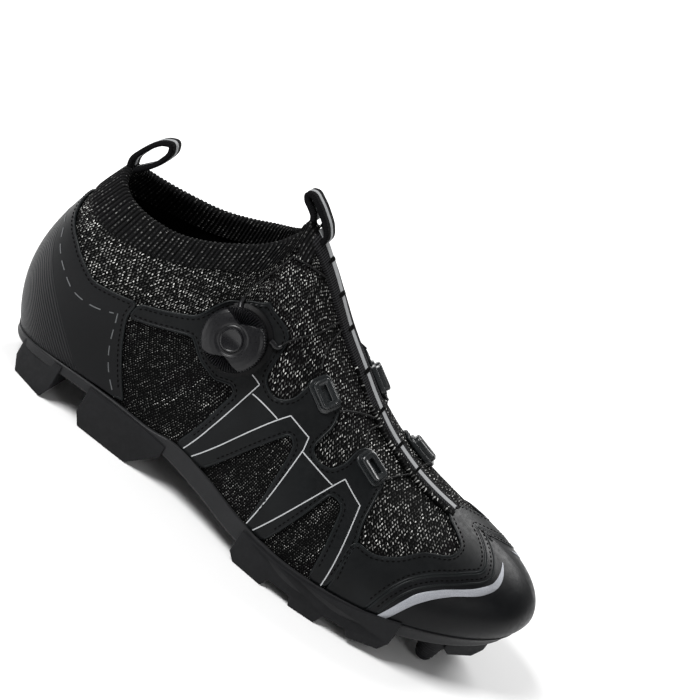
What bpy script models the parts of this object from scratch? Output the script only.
"""Knit cycling shoe with a lace dial, right foot: one named object for each piece that the maker joins.

The frame has the toe at +X, the inner (medial) side at +Y and up at +Z, in metres, with the origin at the bottom
centre of the shoe. Every piece of the upper is cut flat as a pattern and then laid over the last, which last()
works out from the sizes below. Pieces that touch on the real shoe lie GAP apart here.
"""

import math

import bmesh
import bpy
import numpy as np
from mathutils import Matrix, Vector
from mathutils.bvhtree import BVHTree

# Sizes of the last
LENGTH = 0.290
BALL_WIDTH = 0.0955
COLLAR_HEIGHT = 0.1085
INSTEP_HEIGHT = 0.144
HEEL_LIFT = 0.020
COLLAR_BACK = 0.0165
COLLAR_FRONT = 0.103
COLLAR_WIDTH = 0.058
RIDGE_END = 0.254
TOE_ROUND = 0.062
HEEL_ROUND = 0.040
FEATHER_BACK = 0.012
FEATHER_FRONT = 0.006
BULGE = 0.040

# Sizes of the pieces
GAP = 0.0003
WALL = 0.0022
CUFF_STEP = 0.0006
OVERLAY = 0.0011
FILM_GAP = 0.00068
STRIP = 0.0012
TUNNEL = 0.0019
BAND_RISE = 0.008
BAND = 0.0018
PLATE = 0.0037
EDGE_BEVEL = 0.0010
INSOLE = 0.0042
LUG_DRAFT = 0.0012
STUD_RADIUS = 0.0056
CLEAT_PLATE = (0.034, 0.028, 0.0014)
CLEAT_HOLE = 0.0050
CLEAT_PITCH = (0.018, 0.014)
LACE = 0.0010
DIAL_RADIUS = 0.0172
DIAL_BASE = 0.0040
KNOB_RADIUS = 0.0150
KNOB = 0.0068
GUIDE = (0.0140, 0.0090, 0.0036)
GUIDE_SLOT = (0.0085, 0.0034)
LOOP_WIDTH = 0.011
LOOP = 0.0016
HEEL_LOOP_HEIGHT = 0.022
PULL_TAB_HEIGHT = 0.014


def table(columns, rows):
    return dict(zip(columns.split(), np.array(rows, float).T))


# Plan of the feather line: x as a share of LENGTH, y and half widths as shares of BALL_WIDTH,
# height of the feather line as a share of HEEL_LIFT, rise of the sole's side band as a share of BAND_RISE
PLAN = table("share centre lateral medial feather band", [
    (0.00, 0.00, 0.345, 0.330, 0.60, 0.25),
    (0.07, 0.00, 0.345, 0.330, 0.78, 0.25),
    (0.14, 0.00, 0.345, 0.335, 0.95, 0.27),
    (0.26, 0.00, 0.345, 0.325, 1.00, 0.27),
    (0.34, 0.00, 0.360, 0.315, 0.99, 0.30),
    (0.38, 0.00, 0.377, 0.309, 0.97, 0.62),
    (0.46, 0.00, 0.419, 0.320, 0.82, 0.72),
    (0.54, 0.00, 0.476, 0.377, 0.62, 0.72),
    (0.64, 0.00, 0.518, 0.450, 0.55, 0.62),
    (0.74, 0.02, 0.513, 0.482, 0.62, 0.60),
    (0.84, 0.04, 0.476, 0.461, 0.92, 0.42),
    (0.92, 0.06, 0.430, 0.408, 1.20, 0.38),
    (1.00, 0.08, 0.377, 0.356, 1.55, 0.38),
])

# Collar, from the heel round to the front: height as a share of the rise from heel to instep
COLLAR = table("turn rise", [
    (0.00, 0.00),
    (0.14, -0.13),
    (0.27, -0.20),
    (0.39, -0.19),
    (0.50, -0.11),
    (0.58, 0.02),
    (0.70, 0.27),
    (0.82, 0.50),
    (0.92, 0.72),
    (1.00, 1.00),
])

# Ridge of the instep: x as a share of LENGTH, height as a share of INSTEP_HEIGHT
RIDGE = table("share height", [
    (0.350, 0.980),
    (0.390, 0.925),
    (0.424, 0.868),
    (0.500, 0.733),
    (0.545, 0.667),
    (0.590, 0.601),
    (0.640, 0.538),
    (0.690, 0.492),
    (0.724, 0.468),
    (0.760, 0.451),
    (0.800, 0.439),
    (0.850, 0.431),
    (0.900, 0.420),
    (1.000, 0.347),
])

# Sections of the last, from the heel (turn 0) to the toe (turn 1): where each meets the ridge, as a share of
# the run from COLLAR_FRONT to RIDGE_END (those before the collar's front don't), how far it bulges at its foot
# and its top, as shares of BULGE, and its lean in degrees
SECTIONS = table("turn top foot_out foot_up top_out top_up lean", [
    (0.00, -1.200, 0.475, 0.75, 0.425, 0.950, 0),
    (0.10, -0.930, 0.400, 0.75, 0.375, 0.850, 0),
    (0.20, -0.655, 0.250, 0.70, 0.275, 0.750, 0),
    (0.30, -0.380, 0.150, 0.70, 0.225, 0.750, 0),
    (0.38, -0.165, 0.100, 0.85, 0.300, 0.600, 0),
    (0.44, 0.000, 0.075, 1.00, 0.400, 0.250, 0),
    (0.50, 0.165, 0.050, 1.05, 0.550, 0.025, 8),
    (0.60, 0.442, 0.050, 0.85, 0.700, 0.000, 12),
    (0.70, 0.682, 0.100, 0.65, 0.825, 0.000, 12),
    (0.80, 0.856, 0.175, 0.50, 0.850, 0.000, 8),
    (0.90, 0.961, 0.300, 0.375, 0.825, 0.000, 3),
    (1.00, 1.000, 0.375, 0.30, 0.750, 0.000, 0),
])
COLLAR_TURN = 0.44


def spline(rows, column, at):
    """A smooth curve through one column of a table, read at the first column's values."""
    xs = next(iter(rows.values()))
    ys = rows[column]
    at = np.clip(at, xs[0], xs[-1])
    steps = np.diff(xs)
    rates = np.diff(ys) / steps
    inner = (rates[:-1] * steps[1:] + rates[1:] * steps[:-1]) / (steps[1:] + steps[:-1])
    slopes = np.concatenate([rates[:1], inner, rates[-1:]])
    i = np.clip(np.searchsorted(xs, at, side="right") - 1, 0, len(xs) - 2)
    t = (at - xs[i]) / steps[i]
    rise = ys[i + 1] - ys[i]
    a = slopes[i] * steps[i] - rise
    b = slopes[i + 1] * steps[i] - rise
    return ys[i] + rise * t + a * t * (1 - t) ** 2 - b * t * t * (1 - t)


def smooth(x):
    x = np.clip(x, 0, 1)
    return x * x * (3 - 2 * x)


def centre(x):
    return spline(PLAN, "centre", x / LENGTH) * BALL_WIDTH


def feather(side, turn):
    """The line where upper and sole meet, from the heel (turn 0) to the toe (turn 1)."""
    share = (1 - np.cos(np.pi * turn)) / 2
    run = LENGTH - FEATHER_FRONT - FEATHER_BACK
    x = FEATHER_BACK + run * share
    half = np.where(side < 0, spline(PLAN, "lateral", x / LENGTH), spline(PLAN, "medial", x / LENGTH))
    heel = np.clip(1 - run * share / HEEL_ROUND, 0, 1)
    toe = np.clip(1 - run * (1 - share) / TOE_ROUND, 0, 1)
    half = half * BALL_WIDTH * (1 - heel ** 2.1) ** (1 / 2.1) * (1 - toe ** 2.3) ** (1 / 2.3)
    z = spline(PLAN, "feather", x / LENGTH) * HEEL_LIFT
    return np.stack([x, centre(x) + side * half, z], -1)


def ridge_height(x):
    return spline(RIDGE, "height", x / LENGTH) * INSTEP_HEIGHT


def top_line(side, turn):
    """The upper's top edge: round the collar up to COLLAR_TURN, and down the instep's ridge after it."""
    c = np.clip(turn / COLLAR_TURN, 0, 1)
    collar_x = COLLAR_BACK + (COLLAR_FRONT - COLLAR_BACK) * (1 - np.cos(np.pi * c)) / 2
    collar_y = side * COLLAR_WIDTH / 2 * np.abs(np.sin(np.pi * c)) ** 0.8
    collar_z = COLLAR_HEIGHT + spline(COLLAR, "rise", c) * (ridge_height(COLLAR_FRONT) - COLLAR_HEIGHT)
    ridge_x = COLLAR_FRONT + spline(SECTIONS, "top", np.maximum(turn, COLLAR_TURN)) * (RIDGE_END - COLLAR_FRONT)
    open_top = turn < COLLAR_TURN
    x = np.where(open_top, collar_x, ridge_x)
    y = centre(x) + np.where(open_top, collar_y, 0)
    return np.stack([x, y, np.where(open_top, collar_z, ridge_height(ridge_x))], -1)


def outward(side, turn):
    """The level direction straight out of the feather line."""
    step = 1e-4
    along = feather(side, np.clip(turn + step, 0, 1)) - feather(side, np.clip(turn - step, 0, 1))
    out = np.stack([-side * along[..., 1], side * along[..., 0], 0 * side], -1)
    return out / np.linalg.norm(out, axis=-1, keepdims=True)


def last(around, up):
    """A point of the last. around runs -1 toe, 0 heel, 1 toe, with the lateral side negative; up runs from the
    feather line, 0, to the top edge, 1, and on over the ridge down the other side to 2."""
    around, up = np.broadcast_arrays(np.asarray(around, float), np.asarray(up, float))
    side = np.where(around < 0, -1.0, 1.0)
    turn = np.abs(around)
    side = np.where(turn > 1, -side, side)
    turn = np.where(turn > 1, 2 - turn, turn)
    side = np.where(up > 1, -side, side)
    up = np.where(up > 1, 2 - up, up)[..., None]
    foot, top, out = feather(side, turn), top_line(side, turn), outward(side, turn)
    pull = {name: spline(SECTIONS, name, turn)[..., None] * BULGE
            for name in ("foot_out", "foot_up", "top_out", "top_up")}
    fan = smooth((turn - 0.7) / 0.3) * np.pi / 2
    lean = np.radians(spline(SECTIONS, "lean", turn))
    slope = (ridge_height(top[..., 0] + 1e-3) - ridge_height(top[..., 0] - 1e-3)) / 2e-3
    over = np.stack([np.sin(fan), side * np.cos(fan) * np.cos(lean),
                     side * np.cos(fan) * np.sin(lean) + np.sin(fan) * slope], -1)
    blend = np.clip((turn - 0.30) / 0.12, 0, 1)[..., None]
    over = out * (1 - blend) + over * blend
    rise = np.array([0.0, 0.0, 1.0])
    low = foot + out * pull["foot_out"] + rise * pull["foot_up"]
    high = top + over * pull["top_out"] - rise * pull["top_up"]
    return (1 - up) ** 3 * foot + 3 * (1 - up) ** 2 * up * low + 3 * (1 - up) * up ** 2 * high + up ** 3 * top


def normal(around, up):
    """The last's outward direction."""
    around, up = np.broadcast_arrays(np.asarray(around, float), np.asarray(up, float))
    tip = (np.abs(np.abs(around) - 1) < 0.02) & (np.abs(up - 1) < 0.02)
    up = np.where(tip, up + np.where(up > 1, 0.02, -0.02), up)
    step = 2e-3
    folds = np.abs(np.where(np.abs(around) > 1, 2 - np.abs(around), around)) > COLLAR_TURN
    low = np.maximum(up - step, 0)
    high = np.where(folds, up + step, np.minimum(up + step, 1))
    rise = last(around, high) - last(around, low)
    run = last(around + step, up) - last(around - step, up)
    out = np.cross(rise, run)
    return out / np.linalg.norm(out, axis=-1, keepdims=True)


def band_top(around):
    """How far up the last the sole's side band reaches."""
    turn = np.abs(around)
    turn = np.where(turn > 1, 2 - turn, turn)
    x = feather(np.ones_like(turn), turn)[..., 0]
    return spline(PLAN, "band", x / LENGTH) * BAND_RISE / (3 * spline(SECTIONS, "foot_up", turn) * BULGE)


def lift(around, v):
    """A pattern's height v as the last's: -1 is the feather line, 0 the band's top, 1 the top edge, 2 the
    band's top on the other side."""
    band = band_top(around)
    v = np.asarray(v, float)
    near = np.where(v < 0, band * (1 + v), band + v * (1 - band))
    return np.where(v > 1, 2 - (band + (2 - v) * (1 - band)), near)


def skin(around, v, off=0.0):
    """A point off the last's surface by off."""
    around, v, off = np.broadcast_arrays(np.asarray(around, float), np.asarray(v, float), np.asarray(off, float))
    up = lift(around, v)
    return last(around, up) + normal(around, up) * off[..., None]


# Patterns: turn is the share of the way from heel to toe and v the height, as skin() reads them
COUNTER = [
    (0.337, 0.0), (0.312, 0.14), (0.278, 0.32), (0.250, 0.48), (0.246, 0.583), (0.180, 0.57),
    (0.153, 0.62), (0.113, 0.69), (0.060, 0.745), (0.022, 0.79),
]
LATERAL_WEB = [
    (0.2475, 0.583), (0.2515, 0.48), (0.350, 0.48), (0.363, 0.44), (0.388, 0.36), (0.416, 0.29),
    (0.450, 0.29), (0.413, 0.0), (0.454, 0.0), (0.531, 0.38), (0.541, 0.37), (0.529, 0.0),
    (0.556, 0.0), (0.606, 0.40), (0.625, 0.41), (0.620, 0.0), (0.643, 0.0), (0.660, 0.33),
    (0.658, 0.42), (0.666, 0.60), (0.671, 0.74), (0.660, 0.78), (0.631, 0.77), (0.619, 0.69),
    (0.609, 0.56), (0.594, 0.47), (0.575, 0.43), (0.562, 0.44), (0.577, 0.60), (0.575, 0.69),
    (0.566, 0.715), (0.547, 0.67), (0.531, 0.61), (0.519, 0.48), (0.509, 0.43), (0.494, 0.39),
    (0.481, 0.39), (0.475, 0.41), (0.478, 0.47), (0.482, 0.56), (0.475, 0.575), (0.453, 0.565),
    (0.428, 0.58), (0.394, 0.65), (0.361, 0.685), (0.347, 0.66), (0.333, 0.585),
]
MEDIAL_WEB = [
    (0.2475, 0.583), (0.2515, 0.48), (0.350, 0.47), (0.405, 0.38), (0.437, 0.29), (0.413, 0.0),
    (0.454, 0.0), (0.528, 0.38), (0.541, 0.37), (0.529, 0.0), (0.556, 0.0), (0.606, 0.40),
    (0.625, 0.41), (0.620, 0.0), (0.643, 0.0), (0.660, 0.33), (0.668, 0.50), (0.702, 0.70),
    (0.706, 0.81), (0.694, 0.86), (0.660, 0.85), (0.646, 0.72), (0.632, 0.58), (0.612, 0.50),
    (0.592, 0.51), (0.592, 0.60), (0.612, 0.78), (0.606, 0.87), (0.570, 0.86), (0.548, 0.74),
    (0.530, 0.58), (0.512, 0.50), (0.492, 0.50), (0.486, 0.58), (0.498, 0.74), (0.492, 0.80),
    (0.470, 0.80), (0.450, 0.72), (0.420, 0.60), (0.380, 0.57), (0.333, 0.585),
]
TOE_SEAM = [
    (0.697, 0.0), (0.713, 0.17), (0.738, 0.32), (0.769, 0.44), (0.816, 0.57), (0.850, 0.67),
    (0.857, 0.74), (0.864, 0.84), (0.870, 1.0),
]
MUDGUARD_TOP = [
    (0.645, 0.0), (0.662, 0.33), (0.681, 0.335), (0.716, 0.41), (0.756, 0.56), (0.803, 0.69),
    (0.812, 0.77), (0.806, 0.84), (0.790, 0.92), (0.784, 1.0),
]
STRIP_EDGE = [(0.463, 0.94), (0.60, 0.93), (0.780, 0.915)]
SEAM = 0.0012

TURNS = 30
ROWS = [-1.0, 0.0, 0.09, 0.18, 0.28, 0.38, 0.48, 0.58, 0.68, 0.78, 0.855, 0.875, 0.94, 1.0]
CUFF_FROM = 0.865
SKIRT = 0.007

# Where the laces cross under the throat strip, and the places of the dial and the guides
CROSSINGS = (15 / TURNS, 16 / TURNS, 19 / TURNS, 21 / TURNS)
DIAL_AT = (-0.418, 0.45)
GUIDES = {
    "lace_guide_lateral_rear": (-0.549, 0.625),
    "lace_guide_lateral_front": (-0.645, 0.705),
    "lace_guide_medial_rear": (0.586, 0.79),
    "lace_guide_medial_front": (0.682, 0.78),
}

# Lugs under one side: x as a share of LENGTH, bottom as a share of HEEL_LIFT
HEEL_REAR_LUG = table("share bottom", [(0.074, 0.30), (0.088, 0.0), (0.150, 0.0), (0.160, 0.34)])
HEEL_FRONT_LUG = table("share bottom", [(0.216, 0.32), (0.230, 0.0), (0.328, 0.0), (0.374, 0.70)])
FOREFOOT_RAIL = table("share bottom", [
    (0.556, 0.17), (0.570, 0.0), (0.628, 0.0), (0.634, 0.22), (0.676, 0.22), (0.682, 0.0),
    (0.731, 0.0), (0.738, 0.27), (0.778, 0.30), (0.785, 0.13), (0.836, 0.26), (0.846, 0.50),
])
TOE_BLOCK = table("share bottom", [(0.920, 0.72), (0.930, 0.60), (0.962, 0.72), (0.972, 0.92)])
LUG_INNER = {"heel": 0.09, "forefoot": 0.175, "toe": 0.03}
STUD_AT = (0.897, 0.215, 0.10)

COLOURS = {
    "knit": ((0.020, 0.020, 0.022), 0.92, 0.0),
    "rib": ((0.012, 0.012, 0.013), 0.95, 0.0),
    "film": ((0.024, 0.025, 0.028), 0.48, 0.0),
    "rubber": ((0.016, 0.016, 0.018), 0.62, 0.0),
    "nylon": ((0.022, 0.023, 0.025), 0.42, 0.0),
    "plastic": ((0.020, 0.021, 0.024), 0.36, 0.0),
    "webbing": ((0.018, 0.018, 0.019), 0.85, 0.0),
    "steel": ((0.42, 0.42, 0.43), 0.35, 1.0),
    "foam": ((0.030, 0.030, 0.032), 0.90, 0.0),
}


def material(name):
    found = bpy.data.materials.get(name)
    if found:
        return found
    made = bpy.data.materials.new(name)
    made.use_nodes = True
    shader = made.node_tree.nodes["Principled BSDF"]
    colour, roughness, metallic = COLOURS[name]
    shader.inputs["Base Color"].default_value = (*colour, 1)
    shader.inputs["Roughness"].default_value = roughness
    shader.inputs["Metallic"].default_value = metallic
    made.diffuse_color = (*colour, 1)
    return made


def add(name, bm, finish, smooth_angle=40):
    """Puts a bmesh in the scene as a named object."""
    mesh = bpy.data.meshes.new(name)
    bm.to_mesh(mesh)
    bm.free()
    mesh.shade_smooth()
    mesh.set_sharp_from_angle(angle=math.radians(smooth_angle))
    obj = bpy.data.objects.new(name, mesh)
    obj.data.materials.append(material(finish))
    bpy.context.scene.collection.objects.link(obj)
    return obj


def positions(bm):
    return np.array([vert.co for vert in bm.verts])


def place(bm, points):
    for vert, point in zip(bm.verts, points):
        vert.co = point


def grid(columns, rows):
    """A flat grid with its lines at the given places."""
    bm = bmesh.new()
    bmesh.ops.create_grid(bm, x_segments=len(columns) - 1, y_segments=len(rows) - 1, size=1)
    for vert in bm.verts:
        i = round((vert.co.x + 1) / 2 * (len(columns) - 1))
        j = round((vert.co.y + 1) / 2 * (len(rows) - 1))
        vert.co = (columns[i], rows[j], 0)
    return bm


def apply_boolean(obj, cutter, operation):
    """The mesh that a Boolean leaves, with both objects removed."""
    modifier = obj.modifiers.new(operation.title(), "BOOLEAN")
    modifier.operation = operation
    modifier.solver = "EXACT"
    modifier.object = cutter
    bpy.context.view_layer.update()
    graph = bpy.context.evaluated_depsgraph_get()
    result = bmesh.new()
    result.from_mesh(bpy.data.meshes.new_from_object(obj.evaluated_get(graph)))
    for used in (obj, cutter):
        bpy.data.objects.remove(used)
    return result


def prism(outline, low, high):
    """An upright solid on a flat outline."""
    bm = bmesh.new()
    face = bm.faces.new([bm.verts.new((x, y, low)) for x, y in outline])
    sides = bmesh.ops.extrude_face_region(bm, geom=[face], use_keep_orig=True)
    moved = [item for item in sides["geom"] if isinstance(item, bmesh.types.BMVert)]
    bmesh.ops.translate(bm, vec=(0, 0, high - low), verts=moved)
    bmesh.ops.recalc_face_normals(bm, faces=bm.faces)
    return bm


def cut_pattern(columns, rows, outline):
    """The part of a flat grid inside an outline, facing down: the slab is cut, and its underside kept."""
    slab = grid(columns, rows)
    sides = bmesh.ops.extrude_face_region(slab, geom=slab.faces[:], use_keep_orig=True)
    moved = [item for item in sides["geom"] if isinstance(item, bmesh.types.BMVert)]
    bmesh.ops.translate(slab, vec=(0, 0, 0.1), verts=moved)
    bmesh.ops.recalc_face_normals(slab, faces=slab.faces)
    cut = apply_boolean(add("slab", slab, "film"), add("cutter", prism(outline, -1, 1), "film"), "INTERSECT")
    others = [face for face in cut.faces if face.normal.z > -0.9]
    bmesh.ops.delete(cut, geom=others, context="FACES")
    bmesh.ops.triangulate(cut, faces=cut.faces)
    return cut


def lay(pattern, off):
    """Lays a flat pattern over the last, off the surface by off(around, v), and joins its edges where they meet."""
    flat = positions(pattern)
    around, v = flat[:, 0], flat[:, 1]
    place(pattern, skin(around, v, off(around, v)))
    bmesh.ops.remove_doubles(pattern, verts=pattern.verts, dist=2e-5)
    bmesh.ops.dissolve_degenerate(pattern, dist=1e-6, edges=pattern.edges)
    return pattern


def thicken(obj, thickness, side):
    modifier = obj.modifiers.new("Thickness", "SOLIDIFY")
    modifier.thickness = thickness
    modifier.offset = side
    return obj


def turn_of(around):
    turn = np.abs(around)
    return np.where(turn > 1, 2 - turn, turn)


def cuff_step(around, v):
    """How far the ribbed cuff stands out of the upper."""
    fade = 1 - smooth((turn_of(around) - 0.37) / 0.06)
    return np.where(v > CUFF_FROM, CUFF_STEP * fade, 0)


def upper():
    """The knit upper: one hollow wall, open at the collar and underneath, with its cuff as a step."""
    columns = [i / TURNS for i in range(-TURNS, TURNS + 1)]
    pattern = grid(columns, ROWS)
    bmesh.ops.reverse_faces(pattern, faces=pattern.faces)
    lay(pattern, cuff_step)
    return thicken(add("upper", pattern, "knit"), WALL, -1)


def columns_between(low, high):
    """The upper's own grid lines, so that a piece's facets lie parallel to the upper's."""
    return [i / TURNS for i in range(math.floor(low * TURNS), math.ceil(high * TURNS) + 1)]


def rows_between(low, high):
    rows = [row for row in ROWS if row >= 0]
    rows += [2 - row for row in reversed(rows[:-1])]
    rows[0] = SKIRT
    rows[-1] = 2 - SKIRT
    first = max(0, sum(row <= low for row in rows) - 1)
    last_row = len(rows) - max(0, sum(row >= high for row in rows) - 1)
    return rows[first:last_row]


def overlay(name, outline, finish="film", off=None, thickness=OVERLAY):
    """A film overlay: a flat outline cut from the upper's grid, laid over it and given its thickness."""
    arounds = [point[0] for point in outline]
    heights = [point[1] for point in outline]
    rows = rows_between(min(heights), max(heights))
    pattern = cut_pattern(columns_between(min(arounds), max(arounds)), rows, outline)
    lay(pattern, off or (lambda around, v: np.full(len(around), FILM_GAP)))
    return thicken(add(name, pattern, finish), thickness, 1)


def mirrored(points):
    """The same points on the other side of the heel or toe, in reverse order."""
    return [(-x, y) for x, y in reversed(points)]


def overlays():
    counter = COUNTER[:]
    lower = [(x, -0.1 if y == 0 else y) for x, y in counter]
    overlay("heel_counter", [(x, y) for x, y in lower] + mirrored(lower))
    for name, web, side in (("lateral_overlay", LATERAL_WEB, -1), ("medial_overlay", MEDIAL_WEB, 1)):
        overlay(name, [(side * x, -0.1 if y == 0 else y) for x, y in web])
    seam = [(x, -0.1 if y == 0 else y) for x, y in TOE_SEAM]
    top = [(x, -0.1 if y == 0 else y) for x, y in MUDGUARD_TOP]
    around_toe = [(-x - SEAM, y) for x, y in seam]
    overlay("toe_cap", around_toe + [(-2 - x, y) for x, y in reversed(around_toe)])
    half = [(-x, y) for x, y in top] + [(-x, y) for x, y in reversed(seam)]
    lateral = [(-x, y) for x, y in top]
    front = [(-x, y) for x, y in seam]
    over = lateral + [(x, 2 - y) for x, y in reversed(lateral[:-1])]
    back = front + [(x, 2 - y) for x, y in reversed(front[:-1])]
    overlay("mudguard", over + list(reversed(back)))


def tunnel(around, v):
    """The throat strip is lifted where laces pass under it."""
    near = [np.clip(1 - np.abs(np.abs(around) - at) * TURNS, 0, 1) for at in CROSSINGS]
    return GAP + TUNNEL * np.max(near, axis=0)


def throat_strip():
    edge = [(-x, y) for x, y in STRIP_EDGE]
    overlay("throat_strip", edge + [(x, 2 - y) for x, y in reversed(edge)], "webbing", tunnel, STRIP)


def spine_x(x):
    return np.clip(x, FEATHER_BACK + 0.012, LENGTH - FEATHER_FRONT - 0.015)


def spine(x, drop):
    x = spine_x(x)
    return np.stack([x, centre(x), spline(PLAN, "feather", x / LENGTH) * HEEL_LIFT - drop], -1)


def ring_solid(name, profile, finish):
    """A closed solid under or inside the upper: profile(around) gives the rows of points from the top spine out to
    the edge and back to the bottom spine."""
    columns = [i / TURNS for i in range(-TURNS, TURNS + 1)]
    around = np.array(columns)
    rows = profile(around)
    bm = grid(columns, list(range(len(rows))))
    for vert in bm.verts:
        vert.co = rows[round(vert.co.y)][round((vert.co.x + 1) * TURNS)]
    bmesh.ops.remove_doubles(bm, verts=bm.verts, dist=2e-5)
    bmesh.ops.recalc_face_normals(bm, faces=bm.faces)
    return add(name, bm, finish)


def edge(around, out, drop):
    """A point out from the feather line and below it."""
    side = np.where(around < 0, -1.0, 1.0)
    turn = np.abs(around)
    points = feather(side, turn) + outward(side, turn) * out
    points[:, 2] -= drop
    return points


def sole_profile(around):
    return [
        spine(feather(np.ones_like(around), np.abs(around))[:, 0], GAP),
        edge(around, GAP, GAP),
        skin(around, 0, GAP),
        skin(around, 0, GAP + BAND * 0.7) + [0, 0, 0.0002],
        skin(around, -0.35, GAP + BAND),
        edge(around, GAP + BAND, PLATE * 0.45),
        edge(around, GAP + BAND - EDGE_BEVEL, PLATE),
        spine(feather(np.ones_like(around), np.abs(around))[:, 0], PLATE),
    ]


def insole_profile(around):
    """The insole lies on the sole's floor, clear of the upper's wall all round."""
    thick = INSOLE * (1 - 0.3 * np.abs(around))[:, None] * [0, 0, 1]
    rim = edge(around, 0, 0)
    middle = spine(rim[:, 0], 0)
    inset = (WALL + 3 * GAP) / np.linalg.norm(middle - rim, axis=1)[:, None]
    low = rim + (middle - rim) * inset + [0, 0, GAP / 3]
    return [middle + thick * 0.85, low + thick, low, middle]


def edge_y(x, side, inset):
    """How far out the plate's underside reaches at x, less an inset."""
    run = LENGTH - FEATHER_FRONT - FEATHER_BACK
    share = min(max((x - FEATHER_BACK) / run, 0), 1)
    turn = np.array([math.acos(1 - 2 * share) / math.pi])
    foot = feather(np.array([side]), turn)[0]
    return foot[1] + side * (GAP + BAND - EDGE_BEVEL - inset)


def underside(x):
    return float(spline(PLAN, "feather", x / LENGTH)) * HEEL_LIFT - PLATE


def lug(name, stations, side, inner, reach=1.0, seat=GAP):
    """A lug or rail of one side: a strip of box sections from the table of its side view."""
    bm = bmesh.new()
    rings = []
    for share, bottom in zip(stations["share"], stations["bottom"]):
        x = share * LENGTH
        middle = float(centre(np.array(x)))
        near = middle + side * inner * BALL_WIDTH
        far = middle + (edge_y(x, side, GAP) - middle) * reach
        top = underside(x) - seat
        low = bottom * HEEL_LIFT
        corners = [(near, top), (far, top), (far - side * LUG_DRAFT, low), (near + side * LUG_DRAFT, low)]
        rings.append([bm.verts.new((x, y, z)) for y, z in corners])
    for before, after in zip(rings, rings[1:]):
        for i in range(4):
            j = (i + 1) % 4
            bm.faces.new([before[i], before[j], after[j], after[i]])
    for ring in (rings[0], rings[-1]):
        bm.faces.new(ring)
    bmesh.ops.recalc_face_normals(bm, faces=bm.faces)
    return add(name, bm, "rubber", 20)


def turned(rings, segments=24):
    """A closed turned solid from (radius, height) rings, bottom to top, about Z."""
    bm = bmesh.new()
    made = bmesh.ops.create_circle(bm, cap_ends=True, radius=rings[0][0], segments=segments)
    bmesh.ops.translate(bm, vec=(0, 0, rings[0][1]), verts=made["verts"])
    face = bm.faces[:][0]
    for step, ((radius, height), (new_radius, new_height)) in enumerate(zip(rings, rings[1:])):
        grown = bmesh.ops.extrude_face_region(bm, geom=[face], use_keep_orig=step == 0)
        verts = [item for item in grown["geom"] if isinstance(item, bmesh.types.BMVert)]
        if step:
            bmesh.ops.delete(bm, geom=[face], context="FACES_ONLY")
        face = next(item for item in grown["geom"] if isinstance(item, bmesh.types.BMFace))
        bmesh.ops.translate(bm, vec=(0, 0, new_height - height), verts=verts)
        factor = new_radius / radius
        for vert in verts:
            vert.co.x *= factor
            vert.co.y *= factor
    bmesh.ops.recalc_face_normals(bm, faces=bm.faces)
    return bm


def frame_at(around, v, off):
    """A matrix at a place on the last: X along the shoe, Z straight out."""
    spot = Vector(skin(around, v, off))
    ahead = Vector(skin(around + (-0.01 if around < 0 else 0.01), v, off))
    out = Vector(normal(np.array(around), lift(np.array(around), np.array(v))))
    along = (ahead - spot)
    along = (along - out * along.dot(out)).normalized()
    across = out.cross(along)
    matrix = Matrix((along, across, out)).transposed().to_4x4()
    matrix.translation = spot
    return matrix


def seat_tree(side):
    """The outer face of one side's overlays, as something to seat pieces on."""
    columns = [side * i / 60 for i in range(15, 48)]
    rows = [i / 30 for i in range(6, 31)]
    bm = grid(columns, rows)
    flat = positions(bm)
    place(bm, skin(flat[:, 0], flat[:, 1], FILM_GAP + OVERLAY + 3 * GAP))
    tree = BVHTree.FromBMesh(bm)
    bm.free()
    return tree


def seated(bm, matrix, tree, lowest):
    """Moves a piece made about Z to its place, with its bottom ring (below lowest) laid on the seat."""
    for vert in bm.verts:
        at = matrix @ vert.co
        if vert.co.z < lowest:
            start = matrix @ Vector((vert.co.x, vert.co.y, 0.02))
            hit = tree.ray_cast(start, -matrix.col[2].to_3d())[0]
            at = hit if hit else at
        vert.co = at
    return bm


def dial(tree):
    matrix = frame_at(*DIAL_AT, FILM_GAP + OVERLAY + GAP)
    base = turned([(DIAL_RADIUS, -0.001), (DIAL_RADIUS, DIAL_BASE * 0.55), (KNOB_RADIUS * 0.98, DIAL_BASE)], 32)
    add("dial_base", seated(base, matrix, tree, 0), "plastic")
    low = DIAL_BASE + GAP
    rim = KNOB_RADIUS
    knob = turned([
        (rim * 0.93, low), (rim, low + KNOB * 0.1), (rim, low + KNOB * 0.55),
        (rim * 0.86, low + KNOB * 0.86), (rim * 0.45, low + KNOB),
    ], 48)
    knob.transform(matrix)
    add("dial_knob", knob, "plastic")
    top = low + KNOB
    cap = turned([(rim * 0.38, top + GAP), (rim * 0.38, top + 0.0010), (rim * 0.24, top + 0.0014)], 24)
    cap.transform(matrix)
    add("dial_cap", cap, "plastic")


def oval(length, width, low, high):
    """An upright rounded block."""
    bm = turned([(width / 2, low), (width / 2, (low + high) / 2), (width / 2 * 0.86, high)], 16)
    shift = (length - width) / 2
    for vert in bm.verts:
        vert.co.x += shift if vert.co.x > 0 else -shift
    return bm


def guide(name, around, v, tree):
    """A lace guide: a rounded moulding with a slot through it, seated on the overlay."""
    length, width, height = GUIDE
    block = add("block", oval(length, width, -0.001, height), "plastic")
    slot = add("slot", oval(*GUIDE_SLOT, -0.002, height * 2), "plastic")
    cut = apply_boolean(block, slot, "DIFFERENCE")
    matrix = frame_at(around, v, FILM_GAP + OVERLAY + GAP)
    add(name, seated(cut, matrix, tree, 0), "plastic")


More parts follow.
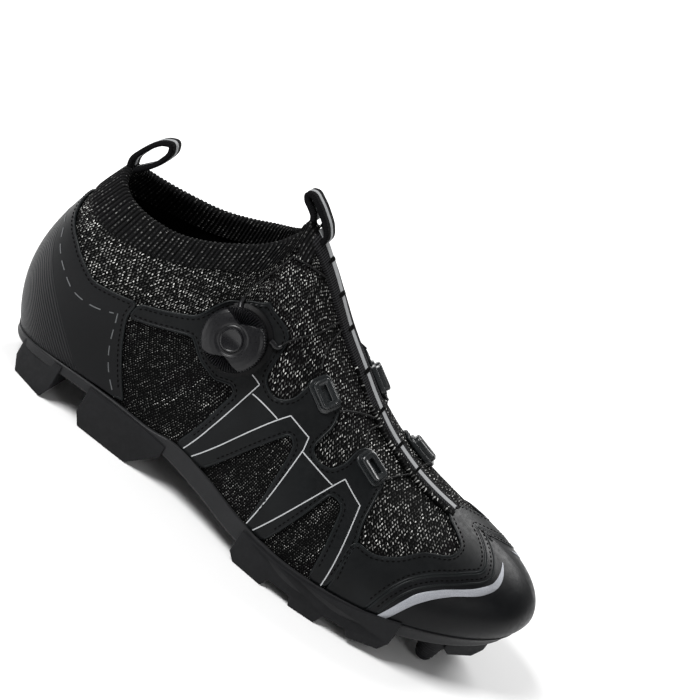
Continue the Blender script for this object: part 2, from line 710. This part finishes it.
def tube(points):
    """A lace tube along points (around, v, off), as a mesh."""
    spots = np.array(points)
    share = np.linspace(0, 1, len(spots))
    dense = np.linspace(0, 1, 4 * (len(spots) - 1) + 1)
    columns = table("share around v off", np.column_stack([share, spots]))
    path = skin(*(spline(columns, name, dense) for name in ("around", "v", "off")))
    curve = bpy.data.curves.new("lace", "CURVE")
    curve.dimensions = "3D"
    curve.bevel_depth = LACE / 2
    curve.bevel_resolution = 1
    curve.use_fill_caps = True
    line = curve.splines.new("POLY")
    line.points.add(len(path) - 1)
    for point, spot in zip(line.points, path):
        point.co = (*spot, 1)
    obj = bpy.data.objects.new("lace", curve)
    bpy.context.scene.collection.objects.link(obj)
    bpy.context.view_layer.update()
    graph = bpy.context.evaluated_depsgraph_get()
    bm = bmesh.new()
    bm.from_mesh(bpy.data.meshes.new_from_object(obj.evaluated_get(graph)))
    bpy.data.objects.remove(obj)
    bmesh.ops.remove_doubles(bm, verts=bm.verts, dist=1e-5)
    bmesh.ops.recalc_face_normals(bm, faces=bm.faces)
    return bm


# Lace runs as (around, v, height off the last): over knit they lie low, over an overlay higher
KNIT_LACE = 0.00095
FILM_LACE = 0.0024
TOP_LACE = [(-0.385, 0.66, 0.0026), (-0.386, 0.71, FILM_LACE), (-0.400, 0.755, KNIT_LACE), (-0.435, 0.75, KNIT_LACE),
            (-0.466, 0.82, KNIT_LACE), (-0.488, 0.91, KNIT_LACE), (-0.499, 1.0, KNIT_LACE),
            (-0.502, 1.10, KNIT_LACE)]
REAR_CROSS = [
    [(-0.474, 0.505, 0.0028), (-0.483, 0.56, FILM_LACE), (-0.496, 0.63, KNIT_LACE), (-0.515, 0.76, KNIT_LACE),
     (-0.533, 1.0, KNIT_LACE), (-0.550, 1.07, KNIT_LACE), (-0.560, 1.11, FILM_LACE)],
    [(-0.531, 0.655, FILM_LACE), (-0.529, 0.74, KNIT_LACE), (-0.532, 0.88, KNIT_LACE), (-0.533, 1.0, KNIT_LACE),
     (-0.525, 1.10, KNIT_LACE), (-0.515, 1.17, KNIT_LACE)],
]
FRONT_CROSS = [
    [(-0.574, 0.665, FILM_LACE), (-0.590, 0.76, KNIT_LACE), (-0.615, 0.90, KNIT_LACE), (-0.633, 1.0, KNIT_LACE),
     (-0.648, 1.07, KNIT_LACE), (-0.655, 1.12, FILM_LACE)],
    [(-0.624, 0.745, FILM_LACE), (-0.622, 0.82, KNIT_LACE), (-0.627, 0.91, KNIT_LACE), (-0.633, 1.0, KNIT_LACE),
     (-0.622, 1.08, KNIT_LACE), (-0.612, 1.13, FILM_LACE)],
]
TOE_LACE = [(-0.669, 0.735, FILM_LACE), (-0.682, 0.83, KNIT_LACE), (-0.697, 0.93, KNIT_LACE), (-0.70, 1.0, KNIT_LACE),
            (-0.704, 1.06, KNIT_LACE), (-0.706, 1.12, FILM_LACE)]


def laces():
    add("lace_top", tube(TOP_LACE), "steel")
    for name, runs in (("lace_rear_cross", REAR_CROSS), ("lace_front_cross", FRONT_CROSS)):
        first, second = (add("run", tube(run), "steel") for run in runs)
        add(name, apply_boolean(first, second, "UNION"), "steel")
    add("lace_toe", tube(TOE_LACE), "steel")


def strap(name, route, width, thickness):
    """A webbing loop across the shoe: a rectangle carried along a route of (x, z) in the middle plane."""
    bm = bmesh.new()
    rings = []
    for i, (x, z) in enumerate(route):
        before = Vector(route[max(i - 1, 0)])
        after = Vector(route[min(i + 1, len(route) - 1)])
        along = (after - before).normalized()
        out = Vector((-along.y, along.x)) * thickness / 2
        ring = []
        for side, face in ((-1, -1), (1, -1), (1, 1), (-1, 1)):
            ring.append(bm.verts.new((x + face * out.x, side * width / 2, z + face * out.y)))
        rings.append(ring)
    for first, second in zip(rings, rings[1:]):
        for i in range(4):
            j = (i + 1) % 4
            bm.faces.new([first[i], first[j], second[j], second[i]])
    for ring in (rings[0], rings[-1]):
        bm.faces.new(ring)
    bmesh.ops.recalc_face_normals(bm, faces=bm.faces)
    return add(name, bm, "webbing")


# Webbing loops in the middle plane, from the collar's rim: ahead and up, as shares of each loop's height
HEEL_LOOP = [
    (0.018, 0.034), (-0.010, 0.205), (0.082, 0.468), (0.240, 0.740), (0.420, 0.923), (0.573, 0.968),
    (0.627, 0.850), (0.568, 0.590), (0.445, 0.355), (0.290, 0.177), (0.155, 0.030),
]
PULL_TAB = [
    (0.707, -0.379), (0.729, -0.193), (0.593, 0.071), (0.250, 0.386), (-0.143, 0.650), (-0.443, 0.771),
    (-0.571, 0.700), (-0.500, 0.557), (-0.250, 0.386), (-0.043, 0.221), (0.036, 0.071),
]


def cleat_plate():
    """The threaded plate in the sole's channel: the seat for a cleat, with its four holes."""
    long, wide, thick = CLEAT_PLATE
    x = 0.655 * LENGTH
    y = float(centre(np.array(x)))
    top = min(underside(x - long / 2), underside(x), underside(x + long / 2)) - GAP
    bm = bmesh.new()
    bmesh.ops.create_cube(bm, size=1)
    bmesh.ops.scale(bm, vec=(long, wide, thick), verts=bm.verts)
    bmesh.ops.bevel(bm, geom=bm.edges[:], affect="EDGES", offset=0.0003, segments=1, profile=0.5, material=-1)
    plate = add("plate", bm, "steel")
    holes = bmesh.new()
    for across in (-1, 1):
        for along in (-1, 1):
            spot = Matrix.Translation((along * CLEAT_PITCH[0] / 2, across * CLEAT_PITCH[1] / 2, 0))
            bmesh.ops.create_cone(holes, cap_ends=True, segments=12, radius1=CLEAT_HOLE / 2,
                                  radius2=CLEAT_HOLE / 2, depth=thick * 3, matrix=spot)
    cut = apply_boolean(plate, add("holes", holes, "steel"), "DIFFERENCE")
    cut.transform(Matrix.Translation((x, y, top - thick / 2)))
    add("cleat_plate", cut, "steel")


def toe_stud(name, side):
    """A screw-in toe stud, upright under the sole's toe spring."""
    share, out, tip = STUD_AT
    x = share * LENGTH
    y = float(centre(np.array(x))) + side * out * BALL_WIDTH
    radius = STUD_RADIUS
    slope = (underside(x + 0.005) - underside(x - 0.005)) / 0.01
    foot = underside(x) - GAP - radius * 1.15 * abs(slope)
    height = foot - tip * HEEL_LIFT
    bm = turned([(radius * 1.15, 0), (radius * 1.05, height * 0.35), (radius * 0.9, height * 0.4),
                 (radius * 0.72, height * 0.8), (radius * 0.5, height)], 16)
    bm.transform(Matrix.Translation((x, y, foot)) @ Matrix.Rotation(math.pi, 4, "X"))
    add(name, bm, "rubber")


def sole():
    ring_solid("outsole", sole_profile, "nylon")
    ring_solid("insole", insole_profile, "foam")
    for word, side in (("lateral", -1), ("medial", 1)):
        lug(f"heel_rear_lug_{word}", HEEL_REAR_LUG, side, LUG_INNER["heel"])
        lug(f"heel_front_lug_{word}", HEEL_FRONT_LUG, side, LUG_INNER["heel"])
        lug(f"forefoot_rail_{word}", FOREFOOT_RAIL, side, LUG_INNER["forefoot"])
        lug(f"toe_block_{word}", TOE_BLOCK, side, LUG_INNER["toe"], 0.8, 3 * GAP)
        toe_stud(f"toe_stud_{word}", side)
    cleat_plate()


def fittings():
    trees = {side: seat_tree(side) for side in (-1, 1)}
    dial(trees[-1])
    for name, (around, v) in GUIDES.items():
        guide(name, around, v, trees[-1 if around < 0 else 1])
    laces()
    front = (COLLAR_FRONT, float(ridge_height(COLLAR_FRONT)))
    for name, shares, foot, height in (
        ("heel_pull_loop", HEEL_LOOP, (COLLAR_BACK, COLLAR_HEIGHT), HEEL_LOOP_HEIGHT),
        ("instep_pull_tab", PULL_TAB, front, PULL_TAB_HEIGHT),
    ):
        route = [(foot[0] + ahead * height, foot[1] + up * height) for ahead, up in shares]
        strap(name, route, LOOP_WIDTH, LOOP)


def stand_on_origin():
    """Parents every piece to one empty, moved so that the shoe's bottom centre is the origin."""
    shoe = bpy.data.objects.new("cycling_shoe", None)
    bpy.context.scene.collection.objects.link(shoe)
    pieces = [obj for obj in bpy.data.objects if obj.type == "MESH"]
    bpy.context.view_layer.update()
    graph = bpy.context.evaluated_depsgraph_get()
    corners = []
    for obj in pieces:
        mesh = obj.evaluated_get(graph).to_mesh()
        spots = np.array([vert.co for vert in mesh.vertices])
        corners += [spots.min(axis=0), spots.max(axis=0)]
        obj.parent = shoe
    low = np.min(corners, axis=0)
    high = np.max(corners, axis=0)
    shoe.location = (-(low[0] + high[0]) / 2, -(low[1] + high[1]) / 2, -low[2])


def main():
    for obj in list(bpy.data.objects):
        bpy.data.objects.remove(obj)
    upper()
    overlays()
    throat_strip()
    sole()
    fittings()
    stand_on_origin()


main()
